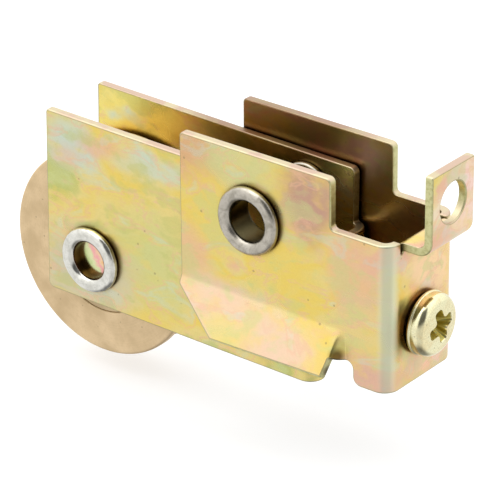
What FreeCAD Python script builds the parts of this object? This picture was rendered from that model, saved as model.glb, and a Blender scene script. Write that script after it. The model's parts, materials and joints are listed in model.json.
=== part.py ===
import FreeCAD, Part
import math
import os

# Adjustable sliding door roller.
#
# A folded steel housing drops into the bottom rail of a sliding door.  A wheel carrier tilts
# inside it on two hollow eyelets, and an adjusting screw in the end of the housing pulls the
# lower end of the carrier, which raises or lowers the ball bearing wheel.
#
# Frame: origin on the pivot axis at the mid-plane of the roller.  +X runs towards the adjusting
# screw, +Y from the near wall to the far wall, +Z up.  All sizes are in millimetres.

V = FreeCAD.Vector

# ---- driving dimensions ---------------------------------------------------------------------
SHEET = 1.27                    # 18 gauge steel, housing and carrier
CORNER_OUTER = 2.4              # outside radius of a folded corner

HOUSING_WIDTH = 15.875          # 5/8 in over the two walls
HOUSING_LEFT = -12.6            # free vertical edge of the walls
HOUSING_RIGHT = 23.85           # outer face of the end wall
WALL_TOP = 10.0
TALL_WALL_RIGHT = 13.8          # where the wall top steps down
STEP_LEVEL = 2.4
LEG_BOTTOM = -20.25
LEG_LEFT = 17.7
NOTCH_TOP = -17.0

FLARE_CREASE = -11.8            # height at which the wall starts to flare outwards
FLARE_ANGLE = 27.0              # degrees from the wall
FLARE_RIGHT = 15.0
FLARE_BOTTOM = -18.9
FLARE_BOTTOM_LEFT = -5.0
FLARE_SIDE_HEIGHT = 1.65        # straight part of the free edge below the crease
FLARE_BEND = 1.6                # radius of the bend on its hollow side
SLIT_WIDTH = 1.0                # relief slit between the flare and the rest of the wall
SLIT_TOP = -13.8

LUG_HALF_WIDTH = 4.95
LUG_TOP = 13.3
LUG_FRONT = 28.6
LUG_FLOOR = 1.03                # underside of the folded foot of the lug
LUG_FOOT_BEND = 0.3             # radius of the first bend on its hollow side
LUG_RELIEF = 0.35               # width of the relief cut beside the foot
LUG_HOLE_RADIUS = 3.0
LUG_HOLE_HEIGHT = 7.95

CARRIER_WIDTH = 13.0            # over the two carrier plates
CARRIER_LEFT = -38.55
CARRIER_TOP = 5.35
CARRIER_BOTTOM = -23.45
TAB_RIGHT = 8.2                 # free right edge of the plates above the web
WEB_FACE = 10.3                 # outer face of the web that joins the plates
WEB_TOP = -3.1
WEB_NOTCH_TOP = -18.5           # notch in the lower edge of the web
WEB_NOTCH_HALF = 3.7
CARRIER_SET_ANGLE = 0.96        # degrees about +Y at which the carrier stands at rest

PIVOT_BORE = 3.04               # radius of the hole through the eyelets
PIVOT_BARREL = 3.55
PIVOT_FLANGE = 5.19
PIVOT_CURL = 4.0                # radius of the rolled rim inside the carrier
FLANGE_PROUD = 1.45
CURL_PROUD = 0.8
RUNNING_CLEARANCE = 0.05
SIDE_CLEARANCE = 0.1

WHEEL_RADIUS = 15.875           # 1-1/4 in wheel
WHEEL_WIDTH = 9.1
WHEEL_X = -30.05                # wheel centre in the carrier's own frame
WHEEL_Z = -16.23
WHEEL_BORE = 9.2
TREAD_LAND = 1.5                # flat land on each side of the hollow tread
TREAD_DEPTH = 1.2

AXLE_RADIUS = 3.5
AXLE_FLANGE = 5.06
AXLE_SOCKET = 2.75              # radius of the hollow at the rolled end
AXLE_SOCKET_DEPTH = 1.9
AXLE_HEAD = 5.3
AXLE_HEAD_HEIGHT = 1.1

BALL_RADIUS = 1.5875            # 1/8 in balls
BALL_COUNT = 8
BALL_PITCH = 6.3
RACE_CLEARANCE = 0.03
OUTER_RACE_BORE = 7.35
OUTER_RACE_HALF = 4.0
CONE_RADIUS = 5.25
AXLE_WASHER_THICK = 0.5
AXLE_WASHER_RADIUS = 5.6
SHIELD_THICK = 0.4
SHIELD_BORE = 5.45
CAGE_INNER = 5.5
CAGE_OUTER = 7.1
CAGE_HALF = 2.1
POCKET_RADIUS = 1.66

SCREW_HEIGHT = -11.63
SCREW_RADIUS = 2.413            # no. 10 machine screw, 24 threads per inch
SCREW_LENGTH = 25.4
SCREW_SEAT = 24.4               # underside of the head
HEAD_RADIUS = 4.755
HEAD_FLANGE = 0.4
HEAD_SIDE = 1.2
HEAD_HEIGHT = 2.7
RECESS_SPAN = 5.8
RECESS_WIDTH = 1.3
RECESS_DEPTH = 1.9
RECESS_TURN = 20.0              # degrees the cross recess stands off the vertical
SCREW_HOLE = 2.8                # clearance hole in the end wall
WEB_HOLE = 2.77
WEB_COLLAR = 3.7
WEB_COLLAR_LENGTH = 0.5
SCREW_WASHER_RADIUS = 4.2
SCREW_WASHER_THICK = 0.28

# ---- derived places -------------------------------------------------------------------------
HALF_WIDTH = HOUSING_WIDTH / 2
CORNER_INNER = CORNER_OUTER - SHEET
PLATE_OUT = CARRIER_WIDTH / 2
PLATE_IN = PLATE_OUT - SHEET
REACH = 40.0                    # longer than any cut needs


# ---- helpers --------------------------------------------------------------------------------
def rounded_wire(corners, place):
    """Closed wire through corners (a, b, radius); place(a, b) gives the point in space."""
    edges = []
    starts = []
    count = len(corners)
    for index in range(count):
        a0, b0, _ = corners[index - 1]
        a1, b1, radius = corners[index]
        a2, b2, _ = corners[(index + 1) % count]
        back = V(a0 - a1, b0 - b1, 0).normalize()
        ahead = V(a2 - a1, b2 - b1, 0).normalize()
        corner = V(a1, b1, 0)
        if radius <= 0:
            starts.append((corner, None, corner))
            continue
        half = back.getAngle(ahead) / 2
        run = radius / math.tan(half)
        centre = corner + (back + ahead).normalize() * (radius / math.sin(half))
        middle = centre + (corner - centre).normalize() * radius
        starts.append((corner + back * run, middle, corner + ahead * run))
    for index in range(count):
        begin, middle, end = starts[index]
        nxt = starts[(index + 1) % count][0]
        if middle is not None:
            edges.append(Part.Arc(place(begin.x, begin.y), place(middle.x, middle.y),
                                  place(end.x, end.y)).toShape())
        if (nxt - end).Length > 1e-6:
            edges.append(Part.makeLine(place(end.x, end.y), place(nxt.x, nxt.y)))
    return Part.Wire(edges)


def side_prism(corners, y_low, y_high):
    """Solid with an outline in X and Z, running from y_low to y_high."""
    wire = rounded_wire(corners, lambda x, z: V(x, y_low, z))
    return Part.Face(wire).extrude(V(0, y_high - y_low, 0))


def end_prism(corners, x_low, x_high):
    """Solid with an outline in Y and Z, running from x_low to x_high."""
    wire = rounded_wire(corners, lambda y, z: V(x_low, y, z))
    return Part.Face(wire).extrude(V(x_high - x_low, 0, 0))


def cylinder_y(radius, y_low, y_high, x=0.0, z=0.0):
    return Part.makeCylinder(radius, y_high - y_low, V(x, y_low, z), V(0, 1, 0))


def cylinder_x(radius, x_low, x_high, y=0.0, z=0.0):
    return Part.makeCylinder(radius, x_high - x_low, V(x_low, y, z), V(1, 0, 0))


def turned_y(corners, x=0.0, z=0.0):
    """Solid of revolution about a line along Y; corners are (radius, y, corner radius)."""
    wire = rounded_wire(corners, lambda r, y: V(x + r, y, z))
    return Part.Face(wire).revolve(V(x, 0, z), V(0, 1, 0), 360)


def turned_x(corners, z=0.0):
    """Solid of revolution about a line along X; corners are (radius, x, corner radius)."""
    wire = rounded_wire(corners, lambda r, x: V(x, r, z))
    return Part.Face(wire).revolve(V(0, 0, z), V(1, 0, 0), 360)


def mirrored(shape):
    """The same piece on the other side of the mid-plane."""
    return shape.mirror(V(0, 0, 0), V(0, 1, 0))


def set_on_pivot(shape):
    """Turn a piece of the carrier from the carrier's own frame to its resting angle."""
    turned = shape.copy()
    turned.rotate(V(0, 0, 0), V(0, 1, 0), CARRIER_SET_ANGLE)
    return turned


def channel(left, right, half_width, bottom, top):
    """Two walls and the end wall at +X, folded from one sheet."""
    outline = [
        (left, -half_width, 0),
        (right, -half_width, CORNER_OUTER),
        (right, half_width, CORNER_OUTER),
        (left, half_width, 0),
        (left, half_width - SHEET, 0),
        (right - SHEET, half_width - SHEET, CORNER_INNER),
        (right - SHEET, -half_width + SHEET, CORNER_INNER),
        (left, -half_width + SHEET, 0),
    ]
    wire = rounded_wire(outline, lambda x, y: V(x, y, bottom))
    return Part.Face(wire).extrude(V(0, 0, top - bottom))


# ---- housing --------------------------------------------------------------------------------
def housing_shell():
    """Folded walls and end wall, without the flares and the lug."""
    outline = [
        (HOUSING_LEFT, FLARE_CREASE, 0),
        (HOUSING_LEFT, WALL_TOP, 0.7),
        (TALL_WALL_RIGHT, WALL_TOP, 0.8),
        (TALL_WALL_RIGHT, STEP_LEVEL, 0.7),
        (HOUSING_RIGHT, STEP_LEVEL, 0),
        (HOUSING_RIGHT, LEG_BOTTOM, 0),
        (LEG_LEFT, LEG_BOTTOM, 1.3),
        (LEG_LEFT, NOTCH_TOP, 1.2),
        (FLARE_RIGHT + SLIT_WIDTH, NOTCH_TOP, 0),
        (FLARE_RIGHT + SLIT_WIDTH, SLIT_TOP, 0.4),
        (FLARE_RIGHT, SLIT_TOP, 0.4),
        (FLARE_RIGHT, FLARE_CREASE, 0),
    ]
    walls = channel(HOUSING_LEFT, HOUSING_RIGHT, HALF_WIDTH, LEG_BOTTOM, WALL_TOP)
    return walls.common(side_prism(outline, -REACH, REACH))


def wall_flare():
    """Lower part of the near wall, bent outwards below the crease."""
    angle = math.radians(FLARE_ANGLE)
    outer = -HALF_WIDTH
    inner = outer + SHEET
    hub = V(0, outer - FLARE_BEND, FLARE_CREASE)
    lean = V(0, -math.sin(angle), -math.cos(angle))
    normal = V(0, math.cos(angle), -math.sin(angle))
    half_normal = V(0, math.cos(angle / 2), -math.sin(angle / 2))
    run = REACH / 3
    outer_end = hub + normal * FLARE_BEND
    inner_end = hub + normal * (FLARE_BEND + SHEET)
    outer_top = V(0, outer, FLARE_CREASE)
    inner_top = V(0, inner, FLARE_CREASE)
    edges = [
        Part.makeLine(inner_top, outer_top),
        Part.Arc(outer_top, hub + half_normal * FLARE_BEND, outer_end).toShape(),
        Part.makeLine(outer_end, outer_end + lean * run),
        Part.makeLine(outer_end + lean * run, inner_end + lean * run),
        Part.makeLine(inner_end + lean * run, inner_end),
        Part.Arc(inner_end, hub + half_normal * (FLARE_BEND + SHEET), inner_top).toShape(),
    ]
    strip = Part.Face(Part.Wire(edges)).extrude(V(FLARE_RIGHT - HOUSING_LEFT, 0, 0))
    strip.translate(V(HOUSING_LEFT, 0, 0))
    outline = [
        (HOUSING_LEFT, FLARE_CREASE + SHEET, 0),
        (FLARE_RIGHT, FLARE_CREASE + SHEET, 0),
        (FLARE_RIGHT - 0.3, FLARE_BOTTOM, 0.4),
        (FLARE_BOTTOM_LEFT, FLARE_BOTTOM, 0.6),
        (HOUSING_LEFT, FLARE_CREASE - FLARE_SIDE_HEIGHT, 0.8),
    ]
    return strip.common(side_prism(outline, -REACH, REACH))


def lug():
    """Fastening lug: folded out of the end wall, then up, with a hole for the fixing screw."""
    face_in = HOUSING_RIGHT - SHEET
    foot_bend = LUG_FOOT_BEND
    hub_low = V(HOUSING_RIGHT + foot_bend, 0, LUG_FLOOR - foot_bend)
    blade_bend = CORNER_OUTER - SHEET
    hub_high = V(LUG_FRONT - CORNER_OUTER, 0, LUG_FLOOR + CORNER_OUTER)
    slant = math.sqrt(0.5)
    root = hub_low.z - SHEET
    low_out = foot_bend + SHEET
    foot_end = V(hub_low.x, 0, LUG_FLOOR + SHEET)
    blade_start = V(hub_high.x, 0, LUG_FLOOR + SHEET)
    edges = [
        Part.makeLine(V(HOUSING_RIGHT, 0, root), V(face_in, 0, root)),
        Part.makeLine(V(face_in, 0, root), V(face_in, 0, hub_low.z)),
        Part.Arc(V(face_in, 0, hub_low.z), hub_low + V(-slant, 0, slant) * low_out,
                 foot_end).toShape(),
        Part.makeLine(foot_end, blade_start),
        Part.Arc(blade_start, hub_high + V(slant, 0, -slant) * blade_bend,
                 V(hub_high.x + blade_bend, 0, hub_high.z)).toShape(),
        Part.makeLine(V(LUG_FRONT - SHEET, 0, hub_high.z), V(LUG_FRONT - SHEET, 0, LUG_TOP)),
        Part.makeLine(V(LUG_FRONT - SHEET, 0, LUG_TOP), V(LUG_FRONT, 0, LUG_TOP)),
        Part.makeLine(V(LUG_FRONT, 0, LUG_TOP), V(LUG_FRONT, 0, hub_high.z)),
        Part.Arc(V(LUG_FRONT, 0, hub_high.z), hub_high + V(slant, 0, -slant) * CORNER_OUTER,
                 V(hub_high.x, 0, LUG_FLOOR)).toShape(),
        Part.makeLine(V(hub_high.x, 0, LUG_FLOOR), V(hub_low.x, 0, LUG_FLOOR)),
        Part.Arc(V(hub_low.x, 0, LUG_FLOOR), hub_low + V(-slant, 0, slant) * foot_bend,
                 V(HOUSING_RIGHT, 0, hub_low.z)).toShape(),
        Part.makeLine(V(HOUSING_RIGHT, 0, hub_low.z), V(HOUSING_RIGHT, 0, root)),
    ]
    strip = Part.Face(Part.Wire(edges)).extrude(V(0, 2 * LUG_HALF_WIDTH, 0))
    strip.translate(V(0, -LUG_HALF_WIDTH, 0))
    outline = [
        (-LUG_HALF_WIDTH, -REACH, 0),
        (LUG_HALF_WIDTH, -REACH, 0),
        (LUG_HALF_WIDTH, LUG_TOP, 0.4),
        (-LUG_HALF_WIDTH, LUG_TOP, 0.4),
    ]
    blade = strip.common(end_prism(outline, 0, REACH))
    hole = cylinder_x(LUG_HOLE_RADIUS, HOUSING_RIGHT, REACH, 0, LUG_HOLE_HEIGHT)
    return blade.cut(hole)


def lug_clearance():
    """Space cut from the end wall above and beside the folded foot of the lug."""
    side = LUG_HALF_WIDTH + LUG_RELIEF
    floor = LUG_FLOOR - LUG_FOOT_BEND
    outline = [(-side, floor, 0.15), (side, floor, 0.15), (side, REACH, 0), (-side, REACH, 0)]
    return end_prism(outline, HOUSING_RIGHT - 2 * SHEET, REACH)


def make_housing():
    shell = housing_shell().cut(lug_clearance())
    flare = wall_flare()
    body = shell.fuse([flare, mirrored(flare), lug()]).removeSplitter()
    body = body.cut(cylinder_y(PIVOT_BARREL, -REACH, REACH))
    body = body.cut(cylinder_x(SCREW_HOLE, HOUSING_RIGHT - 2 * SHEET, REACH, 0, SCREW_HEIGHT))
    return body


def make_pivot_eyelet():
    """Near eyelet: rolled flange outside the wall, smaller curl inside the carrier plate."""
    wall_out = -HALF_WIDTH
    curl_seat = -PLATE_IN + SIDE_CLEARANCE
    profile = [
        (PIVOT_BORE, wall_out - FLANGE_PROUD, 0.95),
        (PIVOT_FLANGE, wall_out - FLANGE_PROUD, 0.85),
        (PIVOT_FLANGE, wall_out, 0.1),
        (PIVOT_BARREL, wall_out, 0),
        (PIVOT_BARREL, curl_seat, 0),
        (PIVOT_CURL, curl_seat, 0.1),
        (PIVOT_CURL, curl_seat + CURL_PROUD, 0.4),
        (PIVOT_BORE, curl_seat + CURL_PROUD, 0.4),
    ]
    return turned_y(profile)


# ---- wheel carrier --------------------------------------------------------------------------
def make_wheel_carrier():
    outline = [
        (CARRIER_LEFT, CARRIER_BOTTOM, 1.0),
        (CARRIER_LEFT, CARRIER_TOP, 0.5),
        (TAB_RIGHT, CARRIER_TOP, 0.9),
        (TAB_RIGHT, WEB_TOP, 0),
        (WEB_FACE, WEB_TOP, 0),
        (WEB_FACE, CARRIER_BOTTOM, 0.5),
    ]
    walls = channel(CARRIER_LEFT, WEB_FACE, PLATE_OUT, CARRIER_BOTTOM, CARRIER_TOP)
    body = walls.common(side_prism(outline, -REACH, REACH))
    notch = [
        (-WEB_NOTCH_HALF, -REACH, 0),
        (WEB_NOTCH_HALF, -REACH, 0),
        (WEB_NOTCH_HALF, WEB_NOTCH_TOP, 1.0),
        (-WEB_NOTCH_HALF, WEB_NOTCH_TOP, 1.0),
    ]
    body = body.cut(end_prism(notch, WEB_FACE - CORNER_OUTER, REACH))
    web_height = screw_height_in_carrier()
    web_in = WEB_FACE - SHEET
    body = body.fuse(cylinder_x(WEB_COLLAR, web_in - WEB_COLLAR_LENGTH, web_in, 0, web_height))
    body = body.cut(cylinder_x(WEB_HOLE, 0, REACH, 0, web_height)).removeSplitter()
    body = body.cut(cylinder_y(PIVOT_BARREL + RUNNING_CLEARANCE, -REACH, REACH))
    body = body.cut(cylinder_y(AXLE_RADIUS, -REACH, REACH, WHEEL_X, WHEEL_Z))
    return body


def screw_height_in_carrier():
    """Height of the tapped hole in the carrier's own frame, in line with the screw at rest."""
    angle = math.radians(CARRIER_SET_ANGLE)
    web_middle = WEB_FACE - SHEET / 2
    return (SCREW_HEIGHT + web_middle * math.sin(angle)) / math.cos(angle)


# ---- axle and bearing -----------------------------------------------------------------------
def make_axle_rivet():
    """Rivet with a hollow rolled end on the near plate and a low round head on the far plate."""
    crest = -PLATE_OUT - FLANGE_PROUD
    profile = [
        (0, crest + AXLE_SOCKET_DEPTH, 0),
        (AXLE_SOCKET, crest + AXLE_SOCKET_DEPTH, 0.3),
        (AXLE_SOCKET, crest, 0.95),
        (AXLE_FLANGE, crest, 0.85),
        (AXLE_FLANGE, -PLATE_OUT, 0.1),
        (AXLE_RADIUS, -PLATE_OUT, 0),
        (AXLE_RADIUS, PLATE_OUT, 0),
        (AXLE_HEAD, PLATE_OUT, 0),
        (AXLE_HEAD, PLATE_OUT + AXLE_HEAD_HEIGHT, 0.8),
        (0, PLATE_OUT + AXLE_HEAD_HEIGHT, 0),
    ]
    return turned_y(profile, WHEEL_X, WHEEL_Z)


def make_axle_washer():
    inner_face = -PLATE_IN + AXLE_WASHER_THICK
    profile = [
        (AXLE_RADIUS, -PLATE_IN, 0),
        (AXLE_WASHER_RADIUS, -PLATE_IN, 0.1),
        (AXLE_WASHER_RADIUS, inner_face, 0.1),
        (AXLE_RADIUS, inner_face, 0),
    ]
    return turned_y(profile, WHEEL_X, WHEEL_Z)


def ball_groove():
    """Ring swept by a ball, with the clearance it runs in."""
    ring = Part.makeTorus(BALL_PITCH, BALL_RADIUS + RACE_CLEARANCE)
    ring.rotate(V(0, 0, 0), V(1, 0, 0), 90)
    ring.translate(V(WHEEL_X, 0, WHEEL_Z))
    return ring


def make_race_cone():
    """Near half of the split inner race."""
    profile = [
        (AXLE_RADIUS, -PLATE_IN + AXLE_WASHER_THICK, 0),
        (CONE_RADIUS, -PLATE_IN + AXLE_WASHER_THICK, 0.15),
        (CONE_RADIUS, 0, 0),
        (AXLE_RADIUS, 0, 0),
    ]
    return turned_y(profile, WHEEL_X, WHEEL_Z).cut(ball_groove())


def make_outer_race():
    profile = [
        (OUTER_RACE_BORE, -OUTER_RACE_HALF, 0.15),
        (WHEEL_BORE, -OUTER_RACE_HALF, 0),
        (WHEEL_BORE, OUTER_RACE_HALF, 0),
        (OUTER_RACE_BORE, OUTER_RACE_HALF, 0.15),
    ]
    return turned_y(profile, WHEEL_X, WHEEL_Z).cut(ball_groove())


def make_wheel_tyre():
    """Steel tyre with a hollow tread that runs on the raised bead of the door track."""
    half = WHEEL_WIDTH / 2
    blank = turned_y([
        (WHEEL_BORE, -half, 0.15),
        (WHEEL_RADIUS, -half, 0.35),
        (WHEEL_RADIUS, half, 0.35),
        (WHEEL_BORE, half, 0.15),
    ], WHEEL_X, WHEEL_Z)
    hollow_half = half - TREAD_LAND
    tread_radius = (hollow_half ** 2 + TREAD_DEPTH ** 2) / (2 * TREAD_DEPTH)
    hub = WHEEL_RADIUS - TREAD_DEPTH + tread_radius
    hollow = Part.makeTorus(hub, tread_radius)
    hollow.rotate(V(0, 0, 0), V(1, 0, 0), 90)
    hollow.translate(V(WHEEL_X, 0, WHEEL_Z))
    return blank.cut(hollow)


def make_bearing_shield():
    """Near dust shield, pressed into the bore of the tyre against the outer race."""
    profile = [
        (SHIELD_BORE, -OUTER_RACE_HALF - SHIELD_THICK, 0.1),
        (WHEEL_BORE, -OUTER_RACE_HALF - SHIELD_THICK, 0.1),
        (WHEEL_BORE, -OUTER_RACE_HALF, 0),
        (SHIELD_BORE, -OUTER_RACE_HALF, 0.1),
    ]
    return turned_y(profile, WHEEL_X, WHEEL_Z)


def ball_directions():
    """Unit vectors from the wheel centre to each ball."""
    step = 2 * math.pi / BALL_COUNT
    return [V(math.cos(i * step), 0, math.sin(i * step)) for i in range(BALL_COUNT)]


def make_bearing_balls():
    centre = V(WHEEL_X, 0, WHEEL_Z)
    balls = [Part.makeSphere(BALL_RADIUS, centre + d * BALL_PITCH) for d in ball_directions()]
    return Part.makeCompound(balls)


def make_ball_cage():
    cage = turned_y([
        (CAGE_INNER, -CAGE_HALF, 0.1),
        (CAGE_OUTER, -CAGE_HALF, 0.1),
        (CAGE_OUTER, CAGE_HALF, 0.1),
        (CAGE_INNER, CAGE_HALF, 0.1),
    ], WHEEL_X, WHEEL_Z)
    centre = V(WHEEL_X, 0, WHEEL_Z)
    for direction in ball_directions():
        cage = cage.cut(Part.makeCylinder(POCKET_RADIUS, CAGE_OUTER + 1, centre, direction))
    return cage


# ---- adjusting screw ------------------------------------------------------------------------
def cross_recess():
    """Cross recess that narrows towards its floor."""
    face = SCREW_SEAT + HEAD_HEIGHT + 0.1
    arm = [
        (-RECESS_SPAN / 2, face, 0),
        (RECESS_SPAN / 2, face, 0),
        (RECESS_SPAN / 6, face - RECESS_DEPTH, 0),
        (-RECESS_SPAN / 6, face - RECESS_DEPTH, 0),
    ]
    wire = rounded_wire(arm, lambda across, x: V(x, across, -RECESS_WIDTH / 2))
    blade = Part.Face(wire).extrude(V(0, 0, RECESS_WIDTH))
    other = blade.copy()
    other.rotate(V(0, 0, 0), V(1, 0, 0), 90)
    cross = blade.fuse(other)
    cross.rotate(V(0, 0, 0), V(1, 0, 0), RECESS_TURN)
    cross.translate(V(0, 0, SCREW_HEIGHT))
    return cross


def make_adjusting_screw():
    """Pan head machine screw; the shank is modelled at its outside diameter."""
    tip = SCREW_SEAT - SCREW_LENGTH
    top = SCREW_SEAT + HEAD_HEIGHT
    profile = [
        (0, tip, 0),
        (SCREW_RADIUS - 0.5, tip, 0),
        (SCREW_RADIUS, tip + 0.6, 0),
        (SCREW_RADIUS, SCREW_SEAT, 0),
        (HEAD_RADIUS, SCREW_SEAT, 0),
        (HEAD_RADIUS, SCREW_SEAT + HEAD_FLANGE, 0.1),
        (HEAD_RADIUS - 0.35, SCREW_SEAT + HEAD_FLANGE + 0.1, 0),
        (HEAD_RADIUS - 0.5, SCREW_SEAT + HEAD_SIDE + 0.7, 1.0),
        (0.6 * HEAD_RADIUS, top, 1.5),
        (0, top, 0),
    ]
    return turned_x(profile, SCREW_HEIGHT).cut(cross_recess())


def make_screw_washer():
    profile = [
        (SCREW_HOLE, SCREW_SEAT - SCREW_WASHER_THICK, 0),
        (SCREW_WASHER_RADIUS, SCREW_SEAT - SCREW_WASHER_THICK, 0),
        (SCREW_WASHER_RADIUS, SCREW_SEAT, 0),
        (SCREW_HOLE, SCREW_SEAT, 0),
    ]
    return turned_x(profile, SCREW_HEIGHT)


# ---- output ---------------------------------------------------------------------------------
def all_parts():
    eyelet = make_pivot_eyelet()
    washer = make_axle_washer()
    cone = make_race_cone()
    shield = make_bearing_shield()
    on_carrier = {
        "wheel_carrier": make_wheel_carrier(),
        "axle_rivet": make_axle_rivet(),
        "near_axle_washer": washer,
        "far_axle_washer": mirrored(washer),
        "near_race_cone": cone,
        "far_race_cone": mirrored(cone),
        "wheel_tyre": make_wheel_tyre(),
        "bearing_outer_race": make_outer_race(),
        "near_bearing_shield": shield,
        "far_bearing_shield": mirrored(shield),
        "bearing_balls": make_bearing_balls(),
        "ball_cage": make_ball_cage(),
    }
    parts = {
        "housing": make_housing(),
        "near_pivot_eyelet": eyelet,
        "far_pivot_eyelet": mirrored(eyelet),
        "screw_washer": make_screw_washer(),
        "adjusting_screw": make_adjusting_screw(),
    }
    for name, shape in on_carrier.items():
        parts[name] = set_on_pivot(shape)
    return parts


os.makedirs("parts", exist_ok=True)
for node, solid in all_parts().items():
    solid.exportStep(os.path.join("parts", node + ".step"))
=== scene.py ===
import json
import math

import bmesh
import bpy
import numpy as np
from mathutils import Matrix, Vector, noise
from mathutils.geometry import delaunay_2d_cdt


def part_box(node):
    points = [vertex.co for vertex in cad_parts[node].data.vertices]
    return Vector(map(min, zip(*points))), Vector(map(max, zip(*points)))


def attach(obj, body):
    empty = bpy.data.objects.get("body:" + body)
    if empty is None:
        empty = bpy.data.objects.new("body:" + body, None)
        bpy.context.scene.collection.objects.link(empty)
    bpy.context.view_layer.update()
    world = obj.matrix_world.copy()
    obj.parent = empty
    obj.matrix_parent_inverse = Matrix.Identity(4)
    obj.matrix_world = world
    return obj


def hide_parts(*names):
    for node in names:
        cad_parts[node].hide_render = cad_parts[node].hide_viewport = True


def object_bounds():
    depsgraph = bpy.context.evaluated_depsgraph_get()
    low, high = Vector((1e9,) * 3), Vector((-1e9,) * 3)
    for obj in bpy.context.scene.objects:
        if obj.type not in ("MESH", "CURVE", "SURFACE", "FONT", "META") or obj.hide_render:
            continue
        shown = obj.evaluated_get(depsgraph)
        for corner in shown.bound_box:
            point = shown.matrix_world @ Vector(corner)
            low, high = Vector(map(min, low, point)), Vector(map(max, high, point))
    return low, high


# Adjustable sliding door roller: folded steel housing, tilting wheel carrier and adjusting screw.
# Sizes below are in millimetres and are scaled to metres when a mesh is made.

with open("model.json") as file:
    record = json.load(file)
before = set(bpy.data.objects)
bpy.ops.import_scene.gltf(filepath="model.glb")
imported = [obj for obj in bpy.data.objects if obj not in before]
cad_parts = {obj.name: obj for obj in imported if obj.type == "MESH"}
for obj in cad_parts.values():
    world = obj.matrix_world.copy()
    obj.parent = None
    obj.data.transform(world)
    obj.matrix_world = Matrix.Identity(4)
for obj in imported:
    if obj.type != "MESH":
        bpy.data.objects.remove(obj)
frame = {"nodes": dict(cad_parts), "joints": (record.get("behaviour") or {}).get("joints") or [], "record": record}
CAD_LOW, CAD_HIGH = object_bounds()
MOUNTS = {m["name"]: m for m in frame["record"]["mounts"]}
JOINTS = {j["name"]: j for j in frame["joints"]}

MM = 0.001
HALF_TURN = math.pi


def box_mm(node):
    low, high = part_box(node)
    return [v / MM for v in low], [v / MM for v in high]


# ---- sizes ----------------------------------------------------------------------------------
SHEET = 1.27
HALF = SHEET / 2
BEND_MID = 1.765                # middle radius of a folded corner
BEND_RUN = BEND_MID * HALF_TURN / 2
EDGE_ROLL, EDGE_BURR = 0.28, 0.10       # rounding of a cut edge on its two faces
GRID_GAP = 0.36                 # clear strip between an outline and the grid inside it
CIRCLE_POINTS = 72

HOUSING_LOW, HOUSING_HIGH = box_mm("housing")
HOUSING_LEFT = HOUSING_LOW[0]
HOUSING_HALF = 7.9375
END_FACE = 23.85
WALL_TOP = 10.0
STEP_X = 13.8
STEP_TOP = 2.4
LEG_BOTTOM = HOUSING_LOW[2]
LEG_LEFT = 17.7
NOTCH_TOP = -17.0

CREASE = -11.8
FLARE = math.radians(27.0)
FLARE_HUB = 1.6 + HALF

FLAP_CORNER_X, FLAP_CORNER_Z = 7.6, -20.0       # chamfered free corner, along the blank
FLAP_CHAMFER_Z = -13.85
FLAP_END_LOW, FLAP_END_TOP = 27.15, 27.6
JOGGLE_X, JOGGLE_RUN = 14.95, 1.7       # where the flap runs back into the wall
EYELET_HOLE = 3.55
SCREW_CLEARANCE = 2.8

LUG_HALF = 4.95
LUG_RELIEF = 0.35               # narrow cut beside the foot of the lug
LUG_FOOT_START = 0.73
LUG_FOOT_MID = 0.935
LUG_FLAT = 2.05

CARRIER_HALF = 6.5
CARRIER_LEFT = -38.55
CARRIER_TOP = 5.35
CARRIER_BOTTOM = -23.45
WEB_FACE = 10.3
TAB_RIGHT = 8.2
WEB_TOP = -3.1
CARRIER_NOTCH_HALF, CARRIER_NOTCH_TOP = 3.7, -18.5
CARRIER_PIVOT_HOLE, AXLE_HOLE, WEB_HOLE = 3.6, 3.5, 2.77
SET_ANGLE = math.radians(0.96)

AXLE_X, _, AXLE_Z = [v / MM for v in JOINTS["wheel_spin"]["pos_m"]]
SCREW_SEAT, _, SCREW_Z = [v / MM for v in JOINTS["screw_spin"]["pos_m"]]
PIVOT_BORE = MOUNTS["pivot_bore"]["dims"]["r_mm"]
LUG_BORE = MOUNTS["lug_hole"]["dims"]["r_mm"]
LUG_BORE_Z = MOUNTS["lug_hole"]["pos_m"][2] / MM
WHEEL_LOW, WHEEL_HIGH = box_mm("wheel_tyre")
WHEEL_RADIUS = (WHEEL_HIGH[0] - WHEEL_LOW[0]) / 2
WHEEL_HALF = (WHEEL_HIGH[1] - WHEEL_LOW[1]) / 2


# ---- small tools ----------------------------------------------------------------------------
def unit(v):
    return v / max(np.linalg.norm(v), 1e-12)


def unit_rows(v):
    return v / np.maximum(np.linalg.norm(v, axis=1, keepdims=True), 1e-12)


def rounded_loop(corners, step=0.3):
    """Closed loop of points through corners (a, b, radius), about step apart."""
    arcs = []
    for i, corner in enumerate(corners):
        before = np.array(corners[i - 1][:2], float)
        here = np.array(corner[:2], float)
        after = np.array(corners[(i + 1) % len(corners)][:2], float)
        back, ahead = unit(before - here), unit(after - here)
        radius = corner[2]
        if radius <= 0:
            arcs.append([here])
            continue
        half = math.acos(max(-1.0, min(1.0, float(back @ ahead)))) / 2
        centre = here + unit(back + ahead) * radius / math.sin(half)
        start = here + back * radius / math.tan(half) - centre
        end = here + ahead * radius / math.tan(half) - centre
        a0 = math.atan2(start[1], start[0])
        turn = (math.atan2(end[1], end[0]) - a0 + math.pi) % (2 * math.pi) - math.pi
        count = max(4, int(math.ceil(abs(turn) * radius / min(step, 0.35 * radius))))
        angles = [a0 + turn * k / count for k in range(count + 1)]
        arcs.append([centre + radius * np.array([math.cos(a), math.sin(a)]) for a in angles])
    points = []
    for i, arc in enumerate(arcs):
        points.extend(arc)
        start, end = arc[-1], arcs[(i + 1) % len(arcs)][0]
        count = int(math.ceil(np.linalg.norm(end - start) / step))
        for k in range(1, count):
            points.append(start + (end - start) * k / count)
    return np.array(points)


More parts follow.
